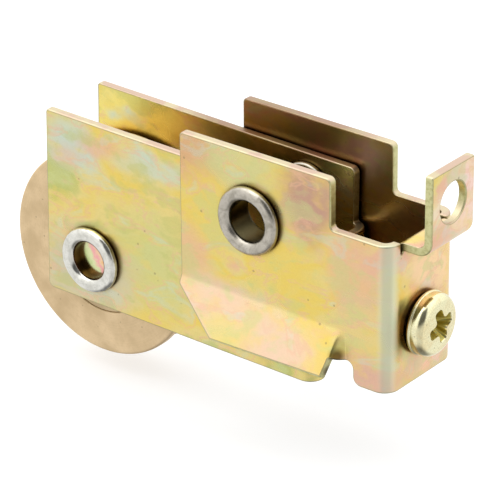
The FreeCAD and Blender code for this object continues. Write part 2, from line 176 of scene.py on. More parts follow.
def circle_loop(a, b, radius):
    """Clockwise circle, so that the metal lies on the left of its path."""
    turns = -np.arange(CIRCLE_POINTS) * 2 * math.pi / CIRCLE_POINTS
    return np.stack([a + radius * np.cos(turns), b + radius * np.sin(turns)], 1)


def inward(loop):
    """Unit direction into the metal at each point of a loop, and the mitre factor there."""
    ahead = unit_rows(np.roll(loop, -1, 0) - loop)
    back = np.roll(ahead, 1, 0)
    left = np.stack([-(ahead + back)[:, 1], (ahead + back)[:, 0]], 1)
    length = np.maximum(np.linalg.norm(left, axis=1, keepdims=True), 1e-9)
    left /= length
    mitre = np.clip(2 / length, 1.0, 1.5)
    return left, mitre


def inside(points, loop):
    """True for each point that lies inside a closed loop."""
    x, y = points[:, 0:1], points[:, 1:2]
    x0, y0 = loop[:, 0], loop[:, 1]
    x1, y1 = np.roll(x0, -1), np.roll(y0, -1)
    rise = np.where(y1 == y0, 1e-12, y1 - y0)
    crosses = ((y0 > y) != (y1 > y)) & (x < (x1 - x0) * (y - y0) / rise + x0)
    return crosses.sum(1) % 2 == 1


def far_from(points, loop, reach):
    """True for each point that is further than reach from a loop."""
    keep = np.ones(len(points), bool)
    for start in range(0, len(points), 2000):
        part = points[start:start + 2000]
        gap = np.linalg.norm(part[:, None, :] - loop[None, :, :], axis=2).min(1)
        keep[start:start + 2000] = gap > reach
    return keep


def make_object(name, verts, faces, normals=None, attributes=None):
    """Mesh object from points in millimetres; attributes are per-point arrays."""
    mesh = bpy.data.meshes.new(name)
    mesh.from_pydata([tuple(v) for v in np.asarray(verts, float) * MM], [], faces)
    for key, values in (attributes or {}).items():
        values = np.asarray(values, np.float32)
        if values.ndim == 1:
            layer = mesh.attributes.new(key, "FLOAT", "POINT")
            layer.data.foreach_set("value", values)
        else:
            layer = mesh.attributes.new(key, "FLOAT_VECTOR", "POINT")
            layer.data.foreach_set("vector", values.ravel())
    for polygon in mesh.polygons:
        polygon.use_smooth = True
    if normals is not None:
        mesh.normals_split_custom_set_from_vertices([tuple(n) for n in normals])
    mesh.update()
    obj = bpy.data.objects.new(name, mesh)
    bpy.context.scene.collection.objects.link(obj)
    return obj


# ---- sheet metal ----------------------------------------------------------------------------
def edge_rings():
    """Stations round a cut edge: inset, height, angle off the face and sign of the face."""
    rings = []
    for face, turns, rise in ((1.0, (0, 30, 60, 90), EDGE_ROLL), (-1.0, (90, 45, 0), EDGE_BURR)):
        for a in map(math.radians, turns):
            height = face * (HALF - rise * (1 - math.cos(a)))
            rings.append((EDGE_ROLL * (1 - math.sin(a)), height, a, face))
    return rings


def edge_bands(loops, frames):
    """Points and faces of the rounded cut edges, and where each loop's end rings start."""
    points, faces, ends = [], [], []
    for loop, (left, mitre) in zip(loops, frames):
        starts = []
        for inset, height, angle, face in edge_rings():
            starts.append(len(points))
            for p, d in zip(loop + left * mitre * inset, left):
                points.append((p[0], p[1], height, angle, face, -d[0], -d[1]))
        count = len(loop)
        for upper, lower in zip(starts, starts[1:]):
            for k in range(count):
                n = (k + 1) % count
                faces.append((upper + k, lower + k, lower + n, upper + n))
        ends.append((starts[0], starts[-1], count))
    return points, faces, ends


def fill_flat(loops, insets, across, up):
    """Triangles of the flat blank between its inset outlines, on a grid."""
    grid = np.array([(a, b) for a in across for b in up])
    keep = inside(grid, loops[0])
    for hole in loops[1:]:
        keep &= ~inside(grid, hole)
    grid = grid[keep]
    for loop in loops:
        grid = grid[far_from(grid, loop, GRID_GAP)]
    flat = [Vector(p) for ring in insets for p in ring] + [Vector(p) for p in grid]
    edges, at = [], 0
    for ring in insets:
        edges += [(at + k, at + (k + 1) % len(ring)) for k in range(len(ring))]
        at += len(ring)
    out = delaunay_2d_cdt(flat, edges, [], 0, 1e-7, True)
    places = np.array([tuple(p) for p in out[0]])
    source = [ids[0] if ids else -1 for ids in out[3]]
    corners = np.array(out[2])
    middle = places[corners].mean(1)
    keep = inside(middle, insets[0])
    for ring in insets[1:]:
        keep &= ~inside(middle, ring)
    return places, source, corners[keep]


def add_face(points, faces, flat, ends, side):
    """Lay the flat triangles on one face of the sheet and join them to the edge bands."""
    places, source, corners = flat
    number = {}
    for new, old in enumerate(source):
        at = 0
        for first, last, count in ends:
            if at <= old < at + count:
                number[new] = (first if side > 0 else last) + old - at
            at += count
    for tri in corners:
        row = []
        for new in tri:
            if new not in number:
                number[new] = len(points)
                points.append((places[new][0], places[new][1], side * HALF, 0.0, side, 0.0, 0.0))
            row.append(number[new])
        (s0, t0), (s1, t1), (s2, t2) = [points[i][:2] for i in row]
        area = ((s1 - s0) * (t2 - t0) - (s2 - s0) * (t1 - t0)) * side
        a, b, c = row
        faces.append((a, b, c) if area > 0 else (a, c, b))


def sheet_piece(name, outline, holes, across, up, fold, shape):
    """Folded sheet with a flat blank outline, holes, and die-rolled edges.

    fold(s, t, w) gives points in space for blank coordinates s and t and height w above the
    middle of the sheet.  shape(s, t) adds a small height that stands for unevenness.
    """
    loops = [outline] + holes
    frames = [inward(loop) for loop in loops]
    points, faces, ends = edge_bands(loops, frames)
    insets = [loop + left * mitre * EDGE_ROLL for loop, (left, mitre) in zip(loops, frames)]
    flat = fill_flat(loops, insets, across, up)
    for side in (1.0, -1.0):
        add_face(points, faces, flat, ends, side)
    s, t, w, tilt, side, out_s, out_t = np.array(points).T

    def place(ds=0.0, dt=0.0):
        return fold(s + ds, t + dt, w + shape(s + ds, t + dt))

    h = 1e-3
    along = (place(ds=h) - place(ds=-h)) / (2 * h)
    rise = (place(dt=h) - place(dt=-h)) / (2 * h)
    normal = unit_rows(np.cross(along, rise)) * (side * np.cos(tilt))[:, None]
    outward = unit_rows(along * out_s[:, None] + rise * out_t[:, None])
    shade = unit_rows(normal + outward * np.sin(tilt)[:, None])
    cut = (tilt > 0.3).astype(float)
    blank = np.stack([s, t, w], 1)
    return make_object(name, place(), faces, shade, {"cut_edge": cut, "blank": blank})


def lines(*spans):
    """Sorted grid positions from (start, end, step) spans."""
    places = []
    for start, end, step in spans:
        count = max(1, int(round((end - start) / step)))
        places += [start + (end - start) * k / count for k in range(count)]
    return sorted(set(round(p, 4) for p in places))


def bend_spans(flat, total):
    """Grid spans of the two bends, which need fine steps, and the web between them."""
    first, last = flat + BEND_RUN + 0.4, total - flat - BEND_RUN - 0.4
    return ((flat - 0.4, first, 0.24), (first, last, 0.5), (last, total - flat + 0.4, 0.24))


def both_sides(bottom, top, total):
    """Corners of a blank that is the same on both sides of its middle."""
    def across(corners):
        return [(total - a, b, radius) for a, b, radius in reversed(corners)]
    return bottom + across(bottom) + across(top) + top


def uneven(points, size, height, seed):
    """Soft unevenness, the same on every run."""
    values = [noise.noise(Vector((p[0] / size + seed, p[1] / size - seed, seed))) for p in points]
    return np.array(values) * height


def path_round(s, left, face, half):
    """Middle line and outward direction of a channel folded at its +X end, seen from above."""
    flat = face - HALF - BEND_MID - left
    web = 2 * (half - HALF - BEND_MID)
    hub_x = face - HALF - BEND_MID
    hub_y = half - HALF - BEND_MID
    a = flat
    b = a + BEND_RUN
    c = b + web
    d = c + BEND_RUN
    near = np.clip((s - a) / BEND_MID, 0, HALF_TURN / 2)
    far = np.clip((s - c) / BEND_MID, 0, HALF_TURN / 2)
    turn = near + far
    nx, ny = np.sin(turn), -np.cos(turn)
    x = np.where(s < a, left + s, np.where(s > d, hub_x - (s - d), hub_x))
    y = np.where(s < b, -hub_y, np.where(s > c, hub_y, -hub_y + (s - b)))
    return x + nx * BEND_MID, y + ny * BEND_MID, nx, ny


HOUSING_FLAT = END_FACE - HALF - BEND_MID - HOUSING_LEFT
HOUSING_WEB = HOUSING_FLAT + BEND_RUN + (HOUSING_HALF - HALF - BEND_MID)
HOUSING_TOTAL = 2 * HOUSING_WEB
LUG_BENT = LUG_FOOT_START + LUG_FOOT_MID * HALF_TURN / 2
LUG_BLADE = LUG_BENT + LUG_FLAT + BEND_RUN
LUG_HUB_X = END_FACE - HALF + LUG_FOOT_MID
LUG_HUB_Z = LUG_FOOT_START + LUG_FOOT_MID + BEND_MID
LUG_TOP = LUG_BLADE + HOUSING_HIGH[2] - LUG_HUB_Z


def smooth(v):
    v = np.clip(v, 0, 1)
    return v * v * (3 - 2 * v)


def fold_housing(s, t, w):
    x, y, nx, ny = path_round(s, HOUSING_LEFT, END_FACE, HOUSING_HALF)
    wall_x = HOUSING_LEFT + np.minimum(s, HOUSING_TOTAL - s)
    # flared lower part of each wall; the metal is stretched back into the wall at its screw end
    bend = FLARE * (1 - smooth((wall_x - JOGGLE_X) / JOGGLE_RUN))
    down = np.maximum(CREASE - t, 0)
    run = FLARE_HUB * bend
    turn = np.where(bend > 1e-9, np.minimum(down, run) / FLARE_HUB, 0.0)
    left_over = np.maximum(down - run, 0)
    radius = FLARE_HUB - w
    off = FLARE_HUB - radius * np.cos(turn) + left_over * np.sin(bend)
    z = np.where(t < CREASE, CREASE - radius * np.sin(turn) - left_over * np.cos(bend), t)
    off = np.where(t < CREASE, off, w)
    points = np.stack([x + nx * off, y + ny * off, z], 1)
    # lug: folded out of the end wall and then up
    lug_y = s - HOUSING_WEB
    lug = (t > LUG_FOOT_START) & (np.abs(lug_y) < LUG_HALF + LUG_RELIEF / 2)
    first = np.clip((t - LUG_FOOT_START) / LUG_FOOT_MID, 0, HALF_TURN / 2)
    second = np.clip((t - LUG_BENT - LUG_FLAT) / BEND_MID, 0, HALF_TURN / 2)
    lug_x = LUG_HUB_X - (LUG_FOOT_MID - w) * np.cos(first)
    lug_z = LUG_FOOT_START + (LUG_FOOT_MID - w) * np.sin(first)
    on_flat = t > LUG_BENT
    lug_x = np.where(on_flat, LUG_HUB_X + np.minimum(t - LUG_BENT, LUG_FLAT), lug_x)
    lug_x = lug_x + np.where(on_flat, (BEND_MID + w) * np.sin(second), 0.0)
    blade = np.maximum(t - LUG_BLADE, 0)
    lug_z = np.where(on_flat, LUG_HUB_Z - (BEND_MID + w) * np.cos(second) + blade, lug_z)
    lug_points = np.stack([lug_x, lug_y, lug_z], 1)
    return np.where(lug[:, None], lug_points, points)


def dished(s, t, waves, centres, level, reach):
    """Gentle waviness, with a shallow dish round the holes at the given centres and level."""
    points = np.stack([s, t], 1)
    lift = sum(uneven(points, *wave) for wave in waves)
    for centre in centres:
        gap = np.hypot(s - centre, t - level)
        lift = lift - 0.03 * np.exp(-((gap - reach) / 1.1) ** 2)
    return lift


def housing_shape(s, t):
    eyelets = (-HOUSING_LEFT, HOUSING_TOTAL + HOUSING_LEFT)
    return dished(s, t, ((9.0, 0.035, 3.7), (3.2, 0.008, 8.1)), eyelets, 0.0, 5.2)


def make_housing():
    total = HOUSING_TOTAL
    lug = HOUSING_WEB - LUG_HALF
    relief = lug - LUG_RELIEF
    step = STEP_X - HOUSING_LEFT
    leg = LEG_LEFT - HOUSING_LEFT
    bottom = [
        (0.0, FLAP_CHAMFER_Z, 0.8), (FLAP_CORNER_X, FLAP_CORNER_Z, 0.6),
        (FLAP_END_LOW, -19.8, 0.3), (FLAP_END_TOP, -16.9, 0.3),
        (leg, NOTCH_TOP + 0.25, 1.2), (leg, LEG_BOTTOM, 1.3),
    ]
    top = [
        (lug, LUG_TOP, 0.4), (lug, LUG_FOOT_START, 0.15), (relief, LUG_FOOT_START, 0.15),
        (relief, STEP_TOP, 0.25), (step, STEP_TOP, 0.7), (step, WALL_TOP, 0.8),
        (0.0, WALL_TOP, 0.7),
    ]
    outline = rounded_loop(both_sides(bottom, top, total), 0.28)
    lug_t = LUG_BLADE + LUG_BORE_Z - LUG_HUB_Z
    holes = [
        circle_loop(-HOUSING_LEFT, 0, EYELET_HOLE),
        circle_loop(total + HOUSING_LEFT, 0, EYELET_HOLE),
        circle_loop(HOUSING_WEB, lug_t, LUG_BORE),
        circle_loop(HOUSING_WEB, SCREW_Z, SCREW_CLEARANCE),
    ]
    flat = HOUSING_FLAT
    across = lines((0.5, 26.2, 0.7), (26.2, 30.0, 0.25), (30.0, flat - 0.4, 0.6),
                   *bend_spans(flat, total), (total - flat + 0.4, total - 30.0, 0.6),
                   (total - 30.0, total - 26.2, 0.25), (total - 26.2, total - 0.5, 0.7))
    up = lines((LEG_BOTTOM, -13.6, 0.4), (-13.6, -11.2, 0.2), (-11.2, 0.4, 0.6),
               (0.4, 7.4, 0.2), (7.4, LUG_TOP, 0.6))
    return sheet_piece("folded_housing", outline, holes, across, up, fold_housing, housing_shape)


PLATE_AXLE_X, PLATE_AXLE_Z = -30.05, -16.23     # axle in the plates before they are tilted
CARRIER_FLAT = WEB_FACE - HALF - BEND_MID - CARRIER_LEFT
CARRIER_WEB = CARRIER_FLAT + BEND_RUN + (CARRIER_HALF - HALF - BEND_MID)
CARRIER_TOTAL = 2 * CARRIER_WEB
WEB_HOLE_Z = (SCREW_Z + (WEB_FACE - HALF) * math.sin(SET_ANGLE)) / math.cos(SET_ANGLE)


def set_on_pivot(points):
    c, s = math.cos(SET_ANGLE), math.sin(SET_ANGLE)
    x, z = points[:, 0], points[:, 2]
    return np.stack([c * x + s * z, points[:, 1], -s * x + c * z], 1)


def fold_carrier(s, t, w):
    x, y, nx, ny = path_round(s, CARRIER_LEFT, WEB_FACE, CARRIER_HALF)
    return set_on_pivot(np.stack([x + nx * w, y + ny * w, t], 1))


def carrier_shape(s, t):
    axle_s = PLATE_AXLE_X - CARRIER_LEFT
    axle_holes = (axle_s, CARRIER_TOTAL - axle_s)
    return dished(s, t, ((11.0, 0.03, 1.3), (3.0, 0.008, 5.9)), axle_holes, PLATE_AXLE_Z, 5.1)


def make_carrier():
    total = CARRIER_TOTAL
    tab = TAB_RIGHT - CARRIER_LEFT
    notch = CARRIER_WEB - CARRIER_NOTCH_HALF
    bottom = [(0.0, CARRIER_BOTTOM, 1.0), (notch, CARRIER_BOTTOM, 0.5),
              (notch, CARRIER_NOTCH_TOP, 1.0)]
    top = [(tab, WEB_TOP, 0.3), (tab, CARRIER_TOP, 0.9), (0.0, CARRIER_TOP, 0.5)]
    outline = rounded_loop(both_sides(bottom, top, total), 0.3)
    axle_s = PLATE_AXLE_X - CARRIER_LEFT
    holes = [
        circle_loop(-CARRIER_LEFT, 0, CARRIER_PIVOT_HOLE),
        circle_loop(total + CARRIER_LEFT, 0, CARRIER_PIVOT_HOLE),
        circle_loop(axle_s, PLATE_AXLE_Z, AXLE_HOLE),
        circle_loop(total - axle_s, PLATE_AXLE_Z, AXLE_HOLE),
        circle_loop(CARRIER_WEB, WEB_HOLE_Z, WEB_HOLE),
    ]
    flat = CARRIER_FLAT
    across = lines((0.5, flat - 0.4, 0.8), *bend_spans(flat, total),
                   (total - flat + 0.4, total - 0.5, 0.8))
    up = lines((CARRIER_BOTTOM, CARRIER_TOP, 0.7))
    return sheet_piece("folded_carrier", outline, holes, across, up, fold_carrier, carrier_shape)


# ---- turned and rolled pieces ---------------------------------------------------------------
def turned(name, profile, axis, centre, segments=120, wobble=None, sharp=35):
    """Solid of revolution from profile points (radius, along), with optional unevenness."""
    profile = np.asarray(profile, float)
    rows = len(profile)
    verts, faces, rim = [], [], []
    for k in range(segments):
        turn = 2 * math.pi * k / segments
        for i, (radius, along) in enumerate(profile):
            r, a = radius, along
            if wobble is not None and radius > 1e-6:
                dr, da = wobble(turn, radius, along)
                r, a = r + dr, a + da
            c, s = r * math.cos(turn), r * math.sin(turn)
            if axis == "y":
                verts.append((centre[0] + c, centre[1] + a, centre[2] + s))
            else:
                verts.append((centre[0] + a, centre[1] + c, centre[2] + s))
            rim.append(radius)
    for k in range(segments):
        here, there = k * rows, ((k + 1) % segments) * rows
        for i in range(rows):
            j = (i + 1) % rows
            quad = (here + i, here + j, there + j, there + i)
            faces.append(quad if axis == "y" else quad[::-1])
    obj = make_object(name, verts, faces, attributes={"radius": rim})
    clean(obj, sharp)
    return obj


def clean(obj, sharp=35):
    """Join doubled points, drop empty faces, point the faces outwards and mark the sharp edges."""
    bm = bmesh.new()
    bm.from_mesh(obj.data)
    bmesh.ops.remove_doubles(bm, verts=bm.verts, dist=2e-6)
    bmesh.ops.dissolve_degenerate(bm, dist=1e-7, edges=bm.edges)
    bmesh.ops.recalc_face_normals(bm, faces=bm.faces)
    bm.to_mesh(obj.data)
    bm.free()
    soften(obj.data, sharp)


def soften(mesh, sharp):
    """Smooth shading everywhere but at edges that turn by more than sharp degrees."""
    for polygon in mesh.polygons:
        polygon.use_smooth = True
    mesh.set_sharp_from_angle(angle=math.radians(sharp))


def full_roll(bore, outer, crest, seat, funnel, widest, under):
    """Section of a rolled rim: bore, crest, widest point, and the undercut back to the seat."""
    middle, half = (bore + outer) / 2, (outer - bore) / 2
    rim = []
    for k in range(33):
        a = math.pi * k / 32
        drop = funnel if k < 16 else crest - widest
        rim.append((middle - half * math.cos(a), crest - drop * (1 - math.sin(a)), 0))
    for k in range(1, 13):
        a = math.pi * k / 24
        rim.append((outer - under * (1 - math.cos(a)), widest - (widest - seat) * math.sin(a), 0))
    return rim


def rolled_eyelet(name, side):
    """Hollow eyelet: rolled flange outside the wall, smaller curl inside the carrier plate."""
    low, high = box_mm("near_pivot_eyelet" if side < 0 else "far_pivot_eyelet")
    face = low[1] if side < 0 else high[1]
    inner = high[1] if side < 0 else low[1]
    flange = (high[0] - low[0]) / 2
    curl = abs(inner) + 0.8
    crest = abs(face)
    corners = full_roll(PIVOT_BORE, flange, crest, HOUSING_HALF, 0.95, HOUSING_HALF + 0.6, 0.6)
    corners += [(3.55, HOUSING_HALF, 0), (3.55, curl, 0), (4.0, curl, 0.1)]
    corners += [(4.0, abs(inner), 0.38), (PIVOT_BORE, abs(inner), 0.4)]
    loop = rounded_loop(corners, 0.12) * (1, side)

    def wobble(turn, radius, along):
        out = noise.noise(Vector((2.1 * math.cos(turn), 2.1 * math.sin(turn), side * 4)))
        fine = noise.noise(Vector((9 * math.cos(turn), 9 * math.sin(turn), radius * 1.7)))
        rim = max(0.0, (radius - 3.6) / 1.6) * (1 if abs(along) > 7.9 else 0)
        return -abs(out) * 0.09 * rim + fine * 0.02 * rim - 0.03 * rim, -side * abs(fine) * 0.03 * rim
    return turned(name, loop, "y", (0, 0, 0), 144, wobble, 50)


SOCKET = 2.85                   # hollow of the rolled end of the axle rivet


def make_axle():
    """Rivet: hollow rolled end on the near plate, low round head on the far plate."""
    low, high = box_mm("axle_rivet")
    crest, far = -low[1], high[1]
    plate = CARRIER_HALF
    floor = crest - 1.85
    corners = [(0, -floor - 0.1, 0), (SOCKET, -floor, 0)]
    rim = full_roll(SOCKET, 5.05, crest, plate, 0.95, plate + 0.6, 0.6)
    corners += [(r, -a, 0) for r, a, _ in rim]
    corners += [(3.5, -plate, 0), (3.5, plate, 0), (5.25, plate, 0.12), (5.25, far, 0.8)]
    corners += [(0, far, 0)]
    loop = rounded_loop(corners, 0.12)

    def wobble(turn, radius, along):
        fine = noise.noise(Vector((5 * math.cos(turn), 5 * math.sin(turn), radius)))
        rim = max(0.0, (radius - 3.4) / 1.6) if along < -plate else 0.0
        return -abs(fine) * 0.07 * rim, abs(fine) * 0.03 * rim
    return turned("rolled_axle_rivet", loop, "y", (AXLE_X, 0, AXLE_Z), 144, wobble, 50)


def make_tyre():
    """Wheel tyre with a hollow tread and a recess for the bearing."""
    half, radius, bore = WHEEL_HALF, WHEEL_RADIUS, 9.2
    land, depth = 1.5, 1.2
    reach = half - land
    tread_radius = (reach ** 2 + depth ** 2) / (2 * depth)
    corners = [(bore, -half, 0.25), (radius, -half, 0.45), (radius, half, 0.45),
               (bore, half, 0.25)]
    loop = [tuple(p) for p in rounded_loop(corners, 0.35)]
    shaped = []
    for r, a in loop:
        if r > radius - 0.01 and abs(a) < reach:
            drop = math.sqrt(max(tread_radius ** 2 - a * a, 0)) - (tread_radius - depth)
            r = radius - max(drop, 0)
        shaped.append((r, a))
    return turned("wheel_tyre_turned", shaped, "y", (AXLE_X, 0, AXLE_Z), 192, None, 30)


# ---- adjusting screw ------------------------------------------------------------------------
def make_screw():
    low, high = box_mm("adjusting_screw")
    tip, crown = low[0], high[0]
    seat = SCREW_SEAT
    pitch, major, minor = 25.4 / 24, 2.4, 1.86
    head = (high[2] - low[2]) / 2
    under = seat + 0.03
    corners = [
        (0, under, 0), (head - 0.05, under, 0.04), (head, seat + 0.32, 0.12),
        (head - 0.17, seat + 0.44, 0.1), (head - 0.1, crown - 0.38, 1.35), (1.6, crown, 3.0),
        (0, crown, 0),
    ]
    dome = rounded_loop(corners, 0.12)
    body = turned("adjusting_screw_cut", dome, "x", (0, 0, SCREW_Z), 120, None, 40)
    carve_recess(body, crown)
    shank = make_thread(tip, seat, pitch, major, minor)
    join(body, shank)
    soften(body.data, 38)
    return body


def carve_recess(body, crown):
    """Cross recess with tapered walls, turned off the vertical and struck slightly high."""
    turn = math.radians(-15.6)

    def cross(span, width, corner, tip):
        half, w = span, width / 2
        flat = []
        for k in range(4):
            a = k * math.pi / 2
            c, s = math.cos(a), math.sin(a)
            for u, v, r in ((-w, half, tip), (w, half, tip), (w, w, corner)):
                flat.append((c * u + s * v, -s * u + c * v, r))
        return rounded_loop(flat[::-1], 0.12)
    levels = [(crown + 0.3, 2.75, 1.85, 0.62, 0.6), (crown - 0.1, 2.62, 1.7, 0.55, 0.55),
              (crown - 0.5, 2.4, 1.5, 0.42, 0.48), (crown - 1.2, 1.75, 1.2, 0.25, 0.35),
              (crown - 1.9, 0.95, 0.9, 0.1, 0.25)]
    verts, rings, count = [], [], 0
    for x, span, width, corner, tip in levels:
        loop = resample(cross(span, width, corner, tip), 128)
        rings.append(len(verts))
        count = len(loop)
        for u, v in loop:
            y = u * math.cos(turn) + v * math.sin(turn)
            z = -u * math.sin(turn) + v * math.cos(turn)
            verts.append((x, y, SCREW_Z + 0.15 + z))
    faces = []
    for a, b in zip(rings, rings[1:]):
        faces += [(a + k, a + (k + 1) % count, b + (k + 1) % count, b + k) for k in range(count)]
    faces.append(tuple(range(rings[0], rings[0] + count)))
    verts.append((crown - 2.2, 0, SCREW_Z + 0.15))
    faces += [(rings[-1] + k, rings[-1] + (k + 1) % count, len(verts) - 1) for k in range(count)]
    tool = make_object("recess_tool", verts, faces)
    clean(tool)
    cut = body.modifiers.new("recess", "BOOLEAN")
    cut.operation = "DIFFERENCE"
    cut.solver = "EXACT"
    cut.object = tool
    bpy.context.view_layer.update()
    evaluated = body.evaluated_get(bpy.context.evaluated_depsgraph_get())
    result = bpy.data.meshes.new_from_object(evaluated)
    body.modifiers.clear()
    body.data = result
    bpy.data.objects.remove(tool)


def resample(loop, count):
    """The same closed loop with count points at even angles, so that levels line up."""
    angles = np.arctan2(loop[:, 1], loop[:, 0])
    order = np.argsort(angles)
    angles, radii = angles[order], np.hypot(loop[order, 0], loop[order, 1])
    wanted = -math.pi + 2 * math.pi * (np.arange(count) + 0.5) / count
    spread = np.interp(wanted, np.concatenate([angles - 2 * math.pi, angles, angles + 2 * math.pi]),
                       np.tile(radii, 3))
    return np.stack([spread * np.cos(wanted), spread * np.sin(wanted)], 1)


def make_thread(tip, seat, pitch, major, minor):
    segments = 64
    rows = int(round((seat - tip) / (pitch / 12)))
    verts, faces = [], []
    for i in range(rows + 1):
        x = tip + (seat + 0.4 - tip) * i / rows
        for k in range(segments):
            turn = 2 * math.pi * k / segments
            wave = abs(((x / pitch - k / segments) % 1.0) * 2 - 1)
            height = min(1.0, max(0.0, (wave - 0.12) / 0.76))
            radius = minor + (major - minor) * height
            radius = min(radius, 1.75 + max(0.0, x - tip) * 1.0)
            verts.append((x, radius * math.cos(turn), SCREW_Z + radius * math.sin(turn)))
    for i in range(rows):
        for k in range(segments):
            n = (k + 1) % segments
            a, b = i * segments, (i + 1) * segments
            faces.append((a + k, a + n, b + n, b + k))
    faces.append(tuple(range(segments))[::-1])
    faces.append(tuple(range(rows * segments, (rows + 1) * segments)))
    shank = make_object("screw_thread", verts, faces)
    clean(shank)
    return shank


def join(body, *others):
    with bpy.context.temp_override(active_object=body, selected_editable_objects=[body, *others]):
        bpy.ops.object.join()


# ---- materials ------------------------------------------------------------------------------
class Nodes:
    """Short way to write a node graph."""

    def __init__(self, tree):
        self.tree = tree

    def add(self, kind, **settings):
        node = self.tree.nodes.new(kind)
        for key, value in settings.items():
            setattr(node, key, value)
        return node

    def link(self, a, b):
        self.tree.links.new(a, b)

    def put(self, socket, value):
        if isinstance(value, (int, float)):
            socket.default_value = value
        elif isinstance(value, (tuple, list)):
            size = len(socket.default_value)
            socket.default_value = tuple(value) + ((1.0,) if size == 4 and len(value) == 3 else ())
        else:
            self.link(value, socket)

    def math(self, operation, a, b=0.0):
        node = self.add("ShaderNodeMath", operation=operation)
        self.put(node.inputs[0], a)
        self.put(node.inputs[1], b)
        return node.outputs[0]

    def times(self, a, b):
        return self.math("MULTIPLY", a, b)

    def plus(self, a, b):
        return self.math("ADD", a, b)

    def minus(self, a, b):
        return self.math("SUBTRACT", a, b)

    def gap(self, a, b):
        return self.math("ABSOLUTE", self.minus(a, b))

    def vector(self, operation, a, b=None):
        """Vector arithmetic; b is a vector, or the factor of SCALE."""
        node = self.add("ShaderNodeVectorMath", operation=operation)
        self.put(node.inputs[0], a)
        if b is not None:
            self.put(node.inputs["Scale" if operation == "SCALE" else 1], b)
        return node.outputs["Value" if operation == "LENGTH" else "Vector"]

    def ramp(self, value, *stops):
        node = self.add("ShaderNodeValToRGB")
        node.color_ramp.interpolation = "EASE"
        ramp = node.color_ramp.elements
        while len(ramp) > 1:
            ramp.remove(ramp[-1])
        ramp[0].position = stops[0][0]
        ramp[0].color = (*stops[0][1], 1.0)
        for place, color in stops[1:]:
            ramp.new(place).color = (*color, 1.0)
        self.put(node.inputs["Fac"], value)
        return node.outputs["Color"]

    def band(self, value, low, high):
        """0 below low, 1 above high (or the reverse when low is larger)."""
        node = self.add("ShaderNodeMapRange", interpolation_type="SMOOTHSTEP")
        self.put(node.inputs["Value"], value)
        node.inputs["From Min"].default_value = low
        node.inputs["From Max"].default_value = high
        return node.outputs["Result"]

    def mix(self, factor, a, b, how="MIX"):
        node = self.add("ShaderNodeMix", data_type="RGBA", blend_type=how)
        self.put(node.inputs[0], factor)
        self.put(node.inputs[6], a)
        self.put(node.inputs[7], b)
        return node.outputs[2]

    def tint(self, color, amount, strength, film, how="MIX"):
        """Lay an overlay colour over a colour where amount is 1, at most at the given strength."""
        return self.mix(self.times(amount, strength), color, film, how)

    def grain(self, color, value, strength, dark, pale):
        """Fine texture; dark and pale are (place, brightness)."""
        stops = [(place, (level,) * 3) for place, level in (dark, pale)]
        return self.mix(strength, color, self.ramp(value, *stops), "MULTIPLY")

    def split(self, vector):
        node = self.add("ShaderNodeSeparateXYZ")
        self.link(vector, node.inputs[0])
        return node.outputs

    def gray(self, level):
        node = self.add("ShaderNodeCombineXYZ")
        for socket in node.inputs:
            self.link(level, socket)
        return node.outputs[0]


class Finish(Nodes):
    """Node graph of a surface finish; positions are in millimetres."""

    def __init__(self, name):
        self.material = bpy.data.materials.new(name)
        self.material.use_nodes = True
        super().__init__(self.material.node_tree)
        self.shader = self.tree.nodes["Principled BSDF"]
        coords = self.add("ShaderNodeTexCoord")
        self.where = self.vector("SCALE", coords.outputs["Object"], 1 / MM)

    def stretch(self, factors, offset):
        node = self.add("ShaderNodeMapping")
        self.put(node.inputs["Vector"], self.where)
        node.inputs["Scale"].default_value = factors
        node.inputs["Location"].default_value = offset
        return node.outputs[0]

    def noise(self, scale, detail=3.0, rough=0.5, warp=0.0, where=None, kind="Fac"):
        node = self.add("ShaderNodeTexNoise")
        self.put(node.inputs["Vector"], where or self.where)
        node.inputs["Scale"].default_value = scale
        node.inputs["Detail"].default_value = detail
        node.inputs["Roughness"].default_value = rough
        node.inputs["Distortion"].default_value = warp
        return node.outputs[kind]

    def cells(self, scale, where=None):
        node = self.add("ShaderNodeTexVoronoi", feature="F1")
        self.put(node.inputs["Vector"], where or self.where)
        node.inputs["Scale"].default_value = scale
        node.inputs["Randomness"].default_value = 1.0
        return node.outputs["Distance"]

    def wander(self, drift, reach):
        """Position pushed about by a noise colour, so that soft patches get cloudy outlines."""
        centred = self.vector("SUBTRACT", drift, (0.5, 0.5, 0.5))
        return self.vector("ADD", self.where, self.vector("SCALE", centred, reach))

    def hollow_shade(self, color, reach, tint, amount=1.0):
        """Painted shade: darker colour in hollows and at contacts, taken from an ambient occlusion node."""
        node = self.add("ShaderNodeAmbientOcclusion", samples=6)
        node.inputs["Distance"].default_value = reach * MM
        hollow = self.band(node.outputs["AO"], 0.80, 0.25)
        return self.tint(color, hollow, amount, self.mix(1.0, color, tint, "MULTIPLY"))

    def attribute(self, name, part="Fac"):
        return self.add("ShaderNodeAttribute", attribute_name=name).outputs[part]

    def normal(self):
        return self.split(self.add("ShaderNodeNewGeometry").outputs["Normal"])

    def spot(self, where, centre, size, squeeze):
        """Soft patch: 1 at the centre and 0 beyond size."""
        away = self.vector("MULTIPLY", self.vector("SUBTRACT", where, centre), squeeze)
        return self.band(self.vector("LENGTH", away), size, size * 0.25)

    def bump(self, height, strength, distance, normal=None):
        node = self.add("ShaderNodeBump")
        self.put(node.inputs["Height"], height)
        node.inputs["Strength"].default_value = strength
        node.inputs["Distance"].default_value = distance * MM
        if normal is not None:
            self.link(normal, node.inputs["Normal"])
        return node.outputs["Normal"]

    def finish(self, color, rough, normal=None, metal=1.0):
        self.put(self.shader.inputs["Base Color"], color)
        self.put(self.shader.inputs["Roughness"], rough)
        self.put(self.shader.inputs["Metallic"], metal)
        if normal is not None:
            self.link(normal, self.shader.inputs["Normal"])
        return self.material


